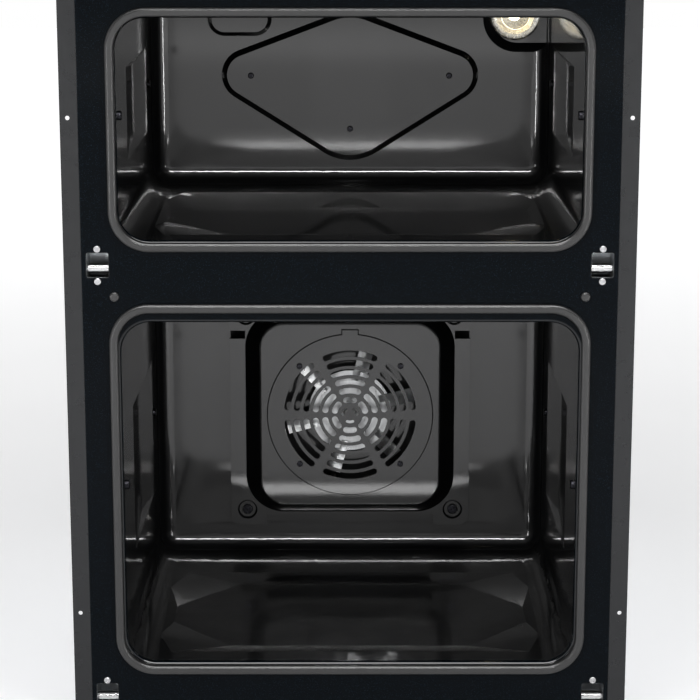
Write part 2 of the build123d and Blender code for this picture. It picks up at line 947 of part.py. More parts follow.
def arc_slot(radius, width, middle, spread):
    """A curved slot with round ends, round the fan's axis. Angles in degrees."""
    half = spread / 2 - degrees(width / 2 / radius)
    start, end = radians(middle - half), radians(middle + half)
    points = [(radius * cos(a), radius * sin(a)) for a in (start, (start + end) / 2, end)]
    path = ThreePointArc(*points)
    return Pos(0, fan_z) * SlotArc(arc=path, height=width)


def cover_outline(inset):
    half, low, high = cover_half - inset, cover_low + inset, cover_high - inset
    corner = cover_corner - inset
    face = window(half, low, high, corner)
    notch_side, notch_top = notch_half + inset, cover_low + notch_height + inset
    notch = polygon(
        [(-notch_side, low - 1), (notch_side, low - 1), (notch_side, notch_top), (-notch_side, notch_top)]
    )
    return face - notch


def raised_form(grow):
    """The raised square in the middle of the fan cover, with sloping flanks."""
    root = window(
        raised_root_half - grow, raised_root_low + grow, raised_root_high - grow, raised_root_corner - grow
    )
    half = raised_root_half - raised_side_inset - grow
    low, high = raised_root_low + raised_end_inset + grow, raised_root_high - raised_end_inset - grow
    top = window(half, low, high, raised_corner - grow)
    foot = cover_front + (cover_sheet if grow else 0)
    face = foot - raised_height
    return loft([depth_plane(foot) * root, depth_plane(face) * top], ruled=True)


def cover_disc(foot):
    """The pressed disc with a tab at its top, which carries the slots."""
    outline = Circle(cover_disc_radius)
    outline = outline + Pos(0, cover_disc_radius) * Rectangle(2 * disc_tab_half, disc_tab_height)
    return extrude(depth_plane(foot) * (Pos(0, fan_z) * outline), cover_disc_rise, taper=cover_disc_angle)


def wing_slots():
    """The slot across each side wing of the cover, open at the rim."""
    slot = block(
        wing_slot_near_x, cover_half + 1, cover_front - 1, cover_front + wing_slot_depth,
        wing_slot_low, wing_slot_high,
    )
    return both_sides(slot)


cover_face = cover_front - raised_height
disc_face = cover_face - cover_disc_rise
cover_screw_places = [
    (x, fan_z + z)
    for x in (-cover_screw_offset, cover_screw_offset)
    for z in (-cover_screw_offset, cover_screw_offset)
]


def make_fan_cover():
    back = cavity_depth - cover_rim_gap
    plate = slab(cover_outline(0), cover_front, cover_front + cover_sheet)
    rim = slab(cover_outline(0) - cover_outline(cover_sheet), cover_front, back)
    plate = plate + rim + raised_form(0)
    top_edges = plate.faces().sort_by(Axis.Y)[0].edges()
    plate = fillet(top_edges, raised_round)
    plate = plate - raised_form(cover_sheet) + cover_disc(cover_face) - cover_disc(cover_face + cover_sheet)
    cuts = wing_slots()
    for ring in range(slot_rings):
        radius = slot_outer_radius - ring * slot_ring_pitch
        for place in range(slots_per_ring):
            middle = 90 + place * 360 / slots_per_ring
            slot = arc_slot(radius, slot_width, middle, 360 / slots_per_ring - slot_bridge_angle)
            cuts.append(slab(slot, disc_face - 1, cover_front))
    for place in range(centre_slots):
        spread = 360 / centre_slots - centre_bridge_angle
        middle = 30 + place * 360 / centre_slots
        slot = arc_slot(centre_slot_radius, centre_slot_width, middle, spread)
        cuts.append(slab(slot, disc_face - 1, cover_front))
    for x, z in cover_screw_places:
        cuts.append(disc(x, z, small_shank_radius + hole_gap, disc_face - 1, cover_front))
    plate = plate - cuts
    for x, z in dimple_places:
        sheet_back = cover_front + cover_sheet
        cup = Pos(x, z) * Circle(dimple_radius)
        boss = extrude(depth_plane(sheet_back) * cup, -dimple_depth, taper=dimple_angle)
        plate = plate + boss + disc(x, z, large_head_radius, sheet_back, back)
        hollow = Pos(x, z) * Circle(dimple_radius - cover_sheet)
        hollow = extrude(depth_plane(cover_front) * hollow, -dimple_depth, taper=dimple_angle)
        plate = plate - [hollow, disc(x, z, large_shank_radius + hole_gap, cover_front, back)]
    near = (cover_front + back - vent_depth) / 2
    far = near + vent_depth
    vents = []
    for place in range(vent_count):
        low = vent_low + place * vent_pitch
        vents.append(block(-cover_half - 1, cover_half + 1, near, far, low, low + vent_height))
    save("fan_cover", plate - vents)


def make_cavity_screws():
    screws = [front_screw(x, z, kite_face, small_screw) for x, z in kite_screw_places]
    screws += [front_screw(x, z, disc_face, small_screw) for x, z in cover_screw_places]
    seat = cover_front + dimple_depth
    reach = cavity_depth + liner_sheet + large_shank_radius - seat
    for x, z in dimple_places:
        screws.append(front_screw(x, z, seat, large_screw, reach))
    save("cavity_screws", *screws)


# Fan, its motor and bracket


def fan_blade(angle):
    middle = (blade_root + impeller_radius) / 2
    blade = Box(impeller_radius - blade_root, blade_width, impeller_sheet)
    blade = Pos(middle, 0, 0) * Rot(blade_pitch, 0, 0) * blade
    place = Plane(origin=(0, front_y + impeller_depth, fan_z), x_dir=(1, 0, 0), z_dir=(0, -1, 0))
    return place * (Rot(0, 0, angle) * blade)


def make_fan():
    near, far = impeller_depth - impeller_sheet / 2, impeller_depth + impeller_sheet / 2
    wheel = disc(0, fan_z, impeller_disc_radius, near, far)
    hub_near, hub_far = near - impeller_dome_height, near + impeller_hub_length
    wheel = wheel + disc(0, fan_z, impeller_hub_radius, hub_near, hub_far)
    for place in range(blade_count):
        wheel = wheel + fan_blade(blade_first_angle + place * 360 / blade_count)
    hub_bore = fan_shaft_radius + snug_gap
    wheel = wheel - disc(0, fan_z, hub_bore, hub_near - 1, hub_far + 1)
    save("fan_impeller", wheel)
    save("fan_shaft", disc(0, fan_z, fan_shaft_radius, fan_shaft_near, fan_shaft_far))
    nut_far = near - impeller_dome_height
    hexagon = RegularPolygon(fan_nut_flat_radius, 6, major_radius=False)
    nut = slab(Pos(0, fan_z) * hexagon, nut_far - fan_nut_height, nut_far)
    nut = chamfer(nut.faces().sort_by(Axis.Y)[0].edges(), fan_nut_chamfer)
    save("fan_nut", nut - disc(0, fan_z, hub_bore, nut_far - 2 * fan_nut_height, nut_far + 1))


def make_motor_bracket():
    wall = cavity_depth + liner_sheet
    plate_far = bracket_plate_depth + bracket_sheet
    low, high = fan_z - bracket_half, fan_z + bracket_half
    shape = block(-bracket_half, bracket_half, bracket_plate_depth, plate_far, low, high)
    for x in (-bracket_half, bracket_half - bracket_sheet):
        shape = shape + block(x, x + bracket_sheet, wall, plate_far, low, high)
    foot_near, foot_far = bracket_half - bracket_sheet, bracket_half + bracket_foot
    for foot in both_sides(block(foot_near, foot_far, wall, wall + bracket_sheet, low, high)):
        shape = shape + foot
    shape = shape - disc(0, fan_z, fan_wall_hole, wall, plate_far)
    save("motor_bracket", shape)


def make_fan_motor():
    near = bracket_plate_depth + bracket_sheet
    core_near = near + motor_bearing_length
    core_far = core_near + motor_core_length
    body = disc(0, fan_z, motor_bearing_radius, near, core_near)
    half, tall = motor_core_width / 2, motor_core_height / 2
    core = block(-half, half, core_near, core_far, fan_z - tall, fan_z + tall)
    core = fillet(core.edges().filter_by(Axis.Y), motor_round)
    coil_half = motor_coil_width / 2
    coil_low = fan_z - tall - motor_coil_height / 2
    coil_mid = (core_near + core_far) / 2
    coil_near, coil_far = coil_mid - motor_coil_length / 2, coil_mid + motor_coil_length / 2
    coil_high = coil_low + motor_coil_height
    coil = block(-coil_half, coil_half, coil_near, coil_far, coil_low, coil_high)
    body = body + core + fillet(coil.edges().filter_by(Axis.X), motor_round)
    body = body + disc(0, fan_z, motor_bearing_radius, core_far, core_far + motor_bearing_length)
    save("fan_motor", body - disc(0, fan_z, fan_shaft_radius + running_gap, near - 1, fan_shaft_far + 1))


# Heating elements


def ring_element_tails():
    """Places where the ring element's two ends pass the back wall."""
    angle = radians(-90 - ring_element_gap_angle / 2)
    radii = (ring_element_inner, ring_element_outer)
    return [(r * cos(angle), fan_z + r * sin(angle)) for r in radii]


def make_ring_element():
    gap = ring_element_gap_angle
    start = -90 + gap / 2
    axis = Axis((0, front_y + ring_element_depth, fan_z), (0, -1, 0))
    flat = Plane(origin=(0, front_y + ring_element_depth, fan_z), x_dir=(1, 0, 0), z_dir=(0, 0, 1))
    shape = None
    for radius in (ring_element_inner, ring_element_outer):
        section = (flat * (Pos(radius, 0) * Circle(element_radius))).rotate(axis, start)
        turn = revolve(section, axis, 360 - gap)
        shape = turn if shape is None else shape + turn
    angle = radians(start)
    middle = (ring_element_inner + ring_element_outer) / 2
    centre = (middle * cos(angle), front_y + ring_element_depth, fan_z + middle * sin(angle))
    bend_radius = (ring_element_outer - ring_element_inner) / 2
    bend_axis = Axis(centre, (0, -1, 0))
    upright = Plane(origin=centre, x_dir=(cos(angle), 0, sin(angle)), z_dir=(-sin(angle), 0, cos(angle)))
    bend = revolve(upright * (Pos(bend_radius, 0) * Circle(element_radius)), bend_axis, -180)
    shape = shape + bend
    for x, z in ring_element_tails():
        shape = shape + Pos(x, front_y + ring_element_depth, z) * Sphere(element_radius)
        shape = shape + disc(x, z, element_radius, ring_element_depth, element_tail_depth)
    wall = cavity_depth + liner_sheet
    tails = ring_element_tails()
    mid_x = (tails[0][0] + tails[1][0]) / 2
    mid_z = (tails[0][1] + tails[1][1]) / 2
    half = bend_radius + element_plate_margin
    plate = block(
        mid_x - half, mid_x + half, wall, wall + element_plate_sheet, mid_z - half, mid_z + half
    )
    save("ring_element", shape + plate)


def bent_tube(points, bend):
    """A bent tube through points given as across, depth and height."""
    places = [(x, front_y + depth, z) for x, depth, z in points]
    path = FilletPolyline(*places, radius=bend)
    start = Plane(origin=path @ 0, z_dir=path % 0)
    return sweep(start * Circle(element_radius), path)


def there_and_back(half_run):
    """A run of points, and the same run mirrored back to the other side."""
    return half_run + [(-x, depth, z) for x, depth, z in reversed(half_run)]


def make_grill_element():
    far, near = grill_far, grill_near
    inner, outer = grill_tail_x, grill_half
    middle = (inner + outer) / 2
    run = [(inner, element_tail_depth, grill_tail_z), (inner, grill_drop_far, grill_tail_z)]
    run += [(inner, grill_drop_near, grill_z), (inner, near + grill_pitch, grill_z)]
    run += [(middle, near + grill_pitch, grill_z), (middle, far, grill_z)]
    run += [(outer, far, grill_z), (outer, near, grill_z)]
    shape = bent_tube(there_and_back(run), grill_bend)
    low = grill_z + element_radius / 2
    strap_near, strap_far = grill_strap_depth, grill_strap_depth + grill_strap_width
    shape = shape + block(-outer, outer, strap_near, strap_far, low, low + element_radius)
    half = grill_strap_width / 2
    for x in (-middle, middle):
        high = upper_ceiling - loose_gap
        shape = shape + block(x - half, x + half, strap_near, strap_far, low, high)
    wall = cavity_depth + liner_sheet
    margin = element_plate_margin
    low, high = grill_tail_z - margin, grill_tail_z + element_plate_rise
    plate = block(-inner - margin, inner + margin, wall, wall + element_plate_sheet, low, high)
    save("grill_element", shape + plate)


def base_element(floor):
    """A level element under a floor's dish."""
    z = floor - liner_sheet - floor_dish_depth - loose_gap - element_radius
    tail_x, inner, outer = base_element_tail_x, base_element_run, base_element_half
    near, far, tongue = base_element_near, base_element_far, base_element_tongue
    run = [(tail_x, element_tail_depth, z), (tail_x, tongue, z), (inner, tongue, z)]
    run += [(inner, far, z), (outer, far, z), (outer, near, z)]
    return bent_tube(there_and_back(run), base_element_bend)


def make_elements():
    make_ring_element()
    make_grill_element()
    save("upper_base_element", base_element(upper_floor))
    save("lower_base_element", base_element(lower_floor))


# Temperature probes and rack studs


def probe(x, z, seat):
    rod = disc(x, z, probe_radius, seat - probe_length, seat + liner_sheet + probe_tail)
    rod = fillet(rod.edges().sort_by(Axis.Y)[0], probe_radius / 2)
    back = seat + liner_sheet
    return rod + disc(x, z, probe_flange_radius, back, back + probe_flange_thickness)


def rack_stud(depth, z):
    base = wall_x(depth) - stud_seat_gap
    pin = cross_bar(depth, z, stud_radius, base - stud_length, base)
    pin = fillet(pin.edges().sort_by(Axis.X)[0], stud_round)
    pin = pin + cross_bar(depth, z, stud_tail_radius, base, base + stud_tail_length)
    return pin - cross_bar(depth, z, stud_bore, base - 2 * stud_length, base + 2 * stud_tail_length)


def make_probes_and_studs():
    save(
        "temperature_probes",
        probe(probe_pad_x, upper_probe_z, probe_seat),
        probe(lower_probe_x, lower_probe_z, cavity_depth),
    )
    studs = []
    for z in (upper_stud_z, lower_stud_z):
        for depth in (stud_near, stud_far):
            studs += both_sides(rack_stud(depth, z))
    save("rack_studs", *studs)


# Insulation


def wool_wrap(floor, ceiling, low, high, dish_low, dish_high):
    """A mineral wool wrap round a liner, with room for the element under the floor."""
    grow = liner_sheet + wool_fit
    hole = window(cavity_front_half + grow, floor - grow, ceiling + grow, cavity_back_corner + grow)
    reach = cavity_front_half + wall_dish_depth + 2 * grow
    near, far = wall_dish_near - grow, wall_dish_far + grow
    element_low = floor - liner_sheet - element_room
    room, tails = wool_room_half, base_element_run
    cuts = [
        slab(hole, 0, cavity_depth + grow),
        block(-reach, reach, near, far, dish_low - grow, dish_high + grow),
        block(-room, room, wool_near - 1, wool_room_far, element_low, floor),
        block(-tails, tails, wool_near, wool_rear + 1, element_low, floor - grow),
    ]
    return block(-wool_half, wool_half, wool_near, wool_rear, low, high) - cuts


def wool_hole(x, z, radius):
    """A hole through the wool behind a cavity."""
    return disc(x, z, radius + wool_clear, cavity_depth, wool_rear + 1)


def make_insulation():
    near, far = cavity_depth, wool_rear + 1
    dish = (upper_wall_dish_low, upper_wall_dish_high)
    wrap = wool_wrap(upper_floor, upper_ceiling, upper_wool_low, frame_high, *dish)
    half = grill_tail_x + element_plate_margin + wool_clear
    low = grill_tail_z - element_plate_margin - wool_clear
    cuts = [wool_hole(upper_lamp_x, upper_lamp_z, lamp_tube_radius)]
    cuts += [wool_hole(probe_pad_x, upper_probe_z, probe_flange_radius)]
    cuts += [block(-half, half, near, far, low, upper_ceiling)]
    cuts += [wool_hole(x, z, small_shank_radius) for x, z in kite_screw_places]
    save("upper_insulation", wrap - (cuts + stud_room(upper_stud_z)))
    dish = (lower_wall_dish_low, lower_wall_dish_high)
    wrap = wool_wrap(lower_floor, lower_ceiling, lower_wool_low, lower_wool_high, *dish)
    half, tall = bracket_half + bracket_foot + wool_clear, bracket_half + wool_clear
    cuts = [wool_hole(lower_lamp_x, lower_lamp_z, lamp_tube_radius)]
    cuts += [wool_hole(lower_probe_x, lower_probe_z, probe_flange_radius)]
    cuts += [block(-half, half, near, far, fan_z - tall, fan_z + tall)]
    reach = element_plate_margin + wool_clear + (ring_element_outer - ring_element_inner)
    cuts += [block(x - reach, x + reach, near, far, z - reach, z + reach) for x, z in ring_element_tails()]
    cuts += [wool_hole(x, z, large_shank_radius) for x, z in dimple_places]
    save("lower_insulation", wrap - (cuts + stud_room(lower_stud_z)))


def stud_room(z):
    """Room in the wool for the studs' tails."""
    reach = cavity_front_half + stud_tail_length + wool_clear
    return [cross_bar(stud_far, z, stud_tail_radius + wool_clear, -reach, reach)]


# Casing


def side_panel():
    """The right side panel, with flanges for the covers and two pressed panels."""
    high = casing_top
    outer = frame_half - sheet
    inner = outer - thin_sheet
    far = casing_depth - thin_sheet
    shape = block(inner, outer, panel_near, far, frame_low + sheet + loose_gap, high)
    flange_room = frame_flange + loose_gap
    low, top = frame_high - sheet - loose_gap, frame_high + loose_gap
    shape = shape - block(inner - 1, outer + 1, 0, flange_room, low, top)
    flange_x = outer - panel_edge_flange
    shape = shape + block(flange_x, outer, panel_near, far, high - thin_sheet, high)
    shape = shape + block(flange_x, outer, far - thin_sheet, far, frame_low + base_flange_top, high)
    side = Plane(origin=(outer, front_y, 0), x_dir=(0, 1, 0), z_dir=(1, 0, 0))
    mid_depth = (panel_near + far) / 2
    wide = far - panel_near - 2 * rib_margin
    for low, top in zip(rib_lows, rib_highs):
        outline = Pos(mid_depth, (low + top) / 2) * RectangleRounded(wide, top - low, rib_corner)
        dent = extrude(side * outline, -panel_rib_depth, taper=press_angle)
        shape = shape + Pos(-thin_sheet, 0, 0) * dent - dent
    for depth in shield_screw_depths:
        shape = shape - cross_bar(depth, shield_screw_z, casing_shank_radius + hole_gap, flange_x, outer + 1)
    hole_radius = casing_shank_radius + hole_gap
    shape = shape - cross_bar(panel_screw_depth, knob_z, hole_radius, flange_x, outer + 1)
    for depth in top_screw_depths:
        centre = (rear_screw_x, front_y + depth, high)
        shape = shape - Pos(*centre) * Cylinder(hole_radius, 4 * thin_sheet)
    for z in rear_screw_heights:
        shape = shape - disc(rear_screw_x, z, hole_radius, far - 2, far + 1)
    return shape


def make_rear_cover():
    outer = frame_half - sheet
    near = casing_depth - thin_sheet
    plate = block(-outer, outer, near, casing_depth, frame_low, casing_top)
    hole_radius = casing_shank_radius + hole_gap
    for z in rear_screw_heights:
        for x in (-rear_screw_x, rear_screw_x):
            plate = plate - disc(x, z, hole_radius, near - 1, casing_depth + 1)
    plate = plate - disc(gland_x, terminal_z, gland_radius + hole_gap, near - 1, casing_depth + 1)
    vent = SlotOverall(rear_vent_length, rear_vent_height)
    cuts = []
    for column in range(rear_vent_columns):
        for row in range(rear_vent_rows):
            x = rear_vent_x + (column - (rear_vent_columns - 1) / 2) * rear_vent_pitch_x
            z = rear_vent_low + row * rear_vent_pitch_z
            cuts.append(slab(Pos(x, z) * vent, near - 1, casing_depth + 1))
    low_vent = SlotOverall(motor_vent_length, rear_vent_height)
    for row in range(motor_vent_count):
        z = motor_vent_z + (row - (motor_vent_count - 1) / 2) * rear_vent_pitch_z
        cuts.append(slab(Pos(0, z) * low_vent, near - 1, casing_depth + 1))
    plate = plate - cuts
    save("rear_cover", plate)


def make_top_cover():
    outer = frame_half - sheet
    low = casing_top
    high = low + thin_sheet
    plate = block(-outer, outer, top_cover_near, casing_depth, low, high)
    lip_half = outer - panel_edge_flange - 2
    plate = plate + block(
        -lip_half, lip_half, top_cover_near, top_cover_near + thin_sheet, low - panel_edge_flange, low
    )
    hole_radius = casing_shank_radius + hole_gap
    for depth in top_screw_depths:
        for x in (-rear_screw_x, rear_screw_x):
            centre = (x, front_y + depth, low)
            plate = plate - Pos(*centre) * Cylinder(hole_radius, 4 * thin_sheet)
    for place in range(top_vent_count):
        x = (place - (top_vent_count - 1) / 2) * top_vent_pitch
        centre = (x, front_y + top_vent_depth, low)
        slot = extrude(SlotOverall(top_vent_length, top_vent_width), 2 * thin_sheet, both=True)
        plate = plate - Pos(*centre) * slot
    save("top_cover", plate)


def make_base_plate():
    top = frame_low
    low = top - sheet
    side = frame_half - sheet - thin_sheet
    plate = block(-side, side, sheet, casing_depth - thin_sheet, low, top)
    for flange in both_sides(
        block(side - sheet, side, frame_flange + 1, casing_depth - 3 * thin_sheet, low, base_flange_top)
    ):
        plate = plate + flange
    for x in (-runner_x, runner_x):
        half = runner_width / 2
        runner = block(x - half, x + half, runner_near, runner_far, 0, low)
        runner = fillet(runner.edges().filter_by(Axis.Z), half - 1)
        plate = plate + runner
        hollow = half - sheet
        groove = block(x - hollow, x + hollow, runner_near + sheet, runner_far - sheet, sheet, top)
        plate = plate - fillet(groove.edges().filter_by(Axis.Z), hollow - 1)
    save("base_plate", plate)


def make_casing():
    panel = side_panel()
    save("right_side_panel", panel)
    save("left_side_panel", mirror(panel, about=Plane.YZ))
    make_rear_cover()
    make_top_cover()
    make_base_plate()


# Heat shield, air duct and cooling blower

throat_near = blower_depth - blower_throat
throat_far = blower_depth + blower_throat


def make_heat_shield():
    side = frame_half - sheet - thin_sheet
    low, high = shield_z, shield_z + thin_sheet
    far = casing_depth - 2 * thin_sheet - loose_gap
    plate = block(-side, side, sheet, far, low, high)
    for flange in both_sides(
        block(side - thin_sheet, side, bracket_flange + 1, far - 10, low, high + shield_flange)
    ):
        plate = plate + flange
    for depth in shield_screw_depths:
        plate = plate - cross_bar(
            depth, shield_screw_z, casing_shank_radius + hole_gap, -side - 1, side + 1
        )
    half = blower_half - sheet
    plate = plate - block(-half, half, throat_near + sheet, throat_far - sheet, low - 1, high + 1)
    save("heat_shield", plate)


def make_air_duct():
    low, high = duct_low, shield_z
    floor = block(-duct_half, duct_half, 2 * sheet, duct_far, low, low + thin_sheet)
    for wall in both_sides(
        block(duct_half - thin_sheet, duct_half, 2 * sheet, duct_far, low, high)
    ):
        floor = floor + wall
    for flange in both_sides(
        block(duct_half, duct_half + duct_flange, 2 * sheet, duct_far, high - thin_sheet, high)
    ):
        floor = floor + flange
    floor = floor + block(-duct_half, duct_half, duct_far - thin_sheet, duct_far, low, high)
    save("air_duct", floor)


def blower_outline(inset):
    """The scroll's section on the depth and height plane."""
    radius = blower_radius - inset
    half = blower_throat - inset
    low = shield_z + thin_sheet
    throat = Pos(blower_depth, (low + blower_z) / 2) * Rectangle(2 * half, blower_z - low)
    return Pos(blower_depth, blower_z) * Circle(radius) + throat


def across(outline, low_x, high_x):
    """An outline on the depth and height plane, given a width across the oven."""
    plane = Plane(origin=(low_x, front_y, 0), x_dir=(0, 1, 0), z_dir=(1, 0, 0))
    return extrude(plane * outline, high_x - low_x)


def make_blower():
    low = shield_z + thin_sheet
    wall = sheet
    shape = across(blower_outline(0), -blower_half, blower_half)
    hollow = across(blower_outline(wall), -blower_half + wall, blower_half - wall)
    throat = block(
        -blower_half + wall, blower_half - wall, throat_near + wall, throat_far - wall, low, low + 2 * wall
    )
    half, inset = blower_half - 3 * wall, blower_inlet_inset
    near, far = blower_depth + inset, blower_depth + 2 * blower_radius
    inlet = block(-half, half, near, far, blower_z + inset, blower_z + blower_inlet_high)
    shape = shape - [hollow, throat, inlet]
    foot = blower_foot
    for near, far in ((throat_near - foot, throat_near + wall), (throat_far - wall, throat_far + foot)):
        shape = shape + block(-blower_half, blower_half, near, far, low, low + wall)
    bore = blower_shaft_radius + running_gap
    shape = shape - cross_bar(blower_depth, blower_z, bore, -blower_half - 1, 0)
    shape = shape - cross_bar(blower_depth, blower_z, 4 * blower_shaft_radius, 0, blower_half + 1)
    save("blower_housing", shape)
    save("blower_wheel", blower_wheel())
    save("blower_motor", blower_motor(low, bore))


def blower_motor(low, bore):
    near_x, far_x, half = blower_motor_near, blower_motor_far, blower_motor_half
    near, far = blower_depth - half, blower_depth + half
    body = block(near_x, far_x, near, far, blower_z - half, blower_z + half)
    body = fillet(body.edges().filter_by(Axis.X), blower_motor_foot_inset)
    near_x, far_x = near_x + blower_motor_foot_inset, far_x - blower_motor_foot_inset
    near, far = blower_depth - blower_motor_foot, blower_depth + blower_motor_foot
    body = body + block(near_x, far_x, near, far, low, blower_z - half + sheet)
    return body - cross_bar(blower_depth, blower_z, bore, blower_half, blower_motor_far + 1)


def blower_wheel():
    half = blower_half - sheet - blower_end_gap
    rims = None
    for low_x in (-half, -sheet, half - 2 * sheet):
        ring = cross_bar(blower_depth, blower_z, blower_wheel_radius, low_x, low_x + 2 * sheet)
        rims = ring if rims is None else rims + ring
    depth_of_blade = blower_wheel_radius - blower_wheel_hub
    middle = (blower_wheel_radius + blower_wheel_hub) / 2
    for place in range(blower_blades):
        angle = place * 360 / blower_blades
        section = Rectangle(depth_of_blade, blower_blade_sheet)
        section = Rot(0, 0, angle) * Pos(middle, 0) * Rot(0, 0, blower_blade_tilt) * section
        rims = rims + across(Pos(blower_depth, blower_z) * section, -half, half)
    rims = rims + cross_bar(blower_depth, blower_z, 3 * blower_shaft_radius, half - 10, half)
    end = blower_motor_far - sheet
    return rims + cross_bar(blower_depth, blower_z, blower_shaft_radius, -blower_half, end)


# Control panel

knob_places = {
    "upper_function_knob": -knob_outer_x,
    "upper_temperature_knob": -knob_inner_x,
    "lower_function_knob": knob_inner_x,
    "lower_temperature_knob": knob_outer_x,
}
button_places = {"timer_minus_button": -1, "timer_mode_button": 0, "timer_plus_button": 1}


def button_outline(grow):
    wide, tall = 2 * (button_half + grow), 2 * (button_half_height + grow)
    return RectangleRounded(wide, tall, button_corner + grow)


def make_control_panel():
    half, low, high = overall_width / 2, panel_low, overall_height
    wall = panel_wall
    shell = block(-half, half, -panel_depth, 0, low, high)
    shell = fillet(shell.edges().filter_by(Axis.Z), panel_corner)
    shell = shell - block(-half + wall, half - wall, -panel_depth + wall, 1, low + wall, high - wall)
    for x in (-post_end_x, -post_x, post_x, post_end_x):
        for z in (post_low_z, post_high_z):
            shell = shell + disc(x, z, post_radius, -panel_depth + wall, 0)
    near, far = -panel_depth - 1, -panel_depth + 2 * wall
    cuts = [disc(x, knob_z, spindle_hole, near, far) for x in knob_places.values()]
    cuts.append(slab(window(window_half, window_low, window_high, window_corner), near, far))
    for place in button_places.values():
        cuts.append(slab(Pos(place * button_pitch, button_z) * button_outline(loose_gap), near, far))
    save("control_panel", shell - cuts)


def make_panel_bracket():
    side = frame_half - sheet - thin_sheet
    low, high = panel_low, bracket_high
    plate = block(-side, side, 0, sheet, low, high)
    for flange in both_sides(block(side - sheet, side, 0, bracket_flange, low, high)):
        plate = plate + flange
    for x in knob_places.values():
        plate = plate - disc(x, knob_z, spindle_hole, -1, 2 * sheet)
    hole = casing_shank_radius + hole_gap
    plate = plate - cross_bar(panel_screw_depth, knob_z, hole, -side - 1, side + 1)
    save("panel_bracket", plate)


def knob(x):
    """A control knob with a pointer mark, and the spindle that it sits on."""
    back = -panel_depth - knob_gap
    skirt = disc(x, knob_z, knob_skirt_radius, back - knob_skirt_height, back)
    skirt = fillet(skirt.edges().sort_by(Axis.Y)[0], knob_round)
    root = depth_plane(back - knob_skirt_height) * (Pos(x, knob_z) * Circle(knob_radius))
    front = depth_plane(-knob_reach) * (Pos(x, knob_z) * Circle(knob_front_radius))
    grip = loft([root, front], ruled=True)
    grip = fillet(grip.edges().sort_by(Axis.Y)[0], knob_round)
    shape = skirt + grip
    mark_mid = knob_front_radius - knob_mark_length / 2 - 1
    mark = Pos(x, knob_z + mark_mid) * SlotOverall(knob_mark_length, knob_mark_width, rotation=90)
    shape = shape - slab(mark, -knob_reach, -knob_reach + knob_mark_depth)
    bore_near = back - spindle_depth_in_knob
    shape = shape - disc(x, knob_z, spindle_radius + snug_gap, bore_near, back)
    spindle = disc(x, knob_z, spindle_radius, bore_near + loose_gap, sheet + spindle_depth_in_switch)
    return [shape, spindle]


def rotary_switch(x):
    far = sheet + switch_length
    low_x, high_x = x - switch_half, x + switch_half
    body = block(low_x, high_x, sheet, far, knob_z - switch_half, knob_z + switch_half)
    body = fillet(body.edges().filter_by(Axis.Y), switch_corner)
    bore = spindle_radius + running_gap
    low, high = knob_z - tab_half_thickness, knob_z + tab_half_thickness
    for middle in (x - tab_spacing / 2, x + tab_spacing / 2):
        low_x, high_x = middle - tab_half_width, middle + tab_half_width
        body = body + block(low_x, high_x, far, far + tab_length, low, high)
    return body - disc(x, knob_z, bore, sheet, sheet + spindle_depth_in_switch + loose_gap)


def make_display():
    face = -panel_depth
    half, low, high = window_half - hole_gap, window_low + hole_gap, window_high - hole_gap
    glass = slab(window(half, low, high, window_corner), face, face + panel_wall)
    low, high = window_low - window_rim, window_high + window_rim
    rim = window(window_half + window_rim, low, high, window_rim)
    near = face + panel_wall
    save("display_window", glass + slab(rim, near, near + window_rim_thickness))
    near = -module_board_depth
    far = near + module_board
    module = block(-module_half, module_half, near, far, module_low, module_high)
    half = window_half - module_case_inset
    low, high = window_low + module_case_inset, window_high - module_case_inset
    case = block(-half, half, -module_case_depth, near, low, high)
    module = module + fillet(case.edges().filter_by(Axis.Y), window_corner)
    post_half = module_half - module_post_inset_x
    for x in (-post_half, post_half):
        for z in (module_low + module_post_inset_z, module_high - module_post_inset_z):
            module = module + disc(x, z, module_post_radius, far, 0)
    cap = switch_cap_half
    cap_near = stem_near + button_stem_length + button_travel + loose_gap
    for place in button_places.values():
        x = place * button_pitch
        module = module + block(x - cap, x + cap, cap_near, near, button_z - cap, button_z + cap)
    save("display_module", module)


rim_near = panel_wall + loose_gap - panel_depth
stem_near = rim_near + button_rim_sheet


def timer_button(place):
    x = place * button_pitch
    cap = slab(Pos(x, button_z) * button_outline(0), -panel_depth - button_reach, rim_near)
    cap = fillet(cap.faces().sort_by(Axis.Y)[0].edges(), button_round)
    rim = slab(Pos(x, button_z) * button_outline(button_rim), rim_near, stem_near)
    stem = disc(x, button_z, button_stem_radius, stem_near, stem_near + button_stem_length)
    return cap + rim + stem


def make_controls():
    make_control_panel()
    make_panel_bracket()
    make_display()
    for name, x in knob_places.items():
        save(name, *knob(x))
    for name, place in button_places.items():
        save(name, timer_button(place))
    save("rotary_switches", *[rotary_switch(x) for x in knob_places.values()])


# Terminal block and cable gland


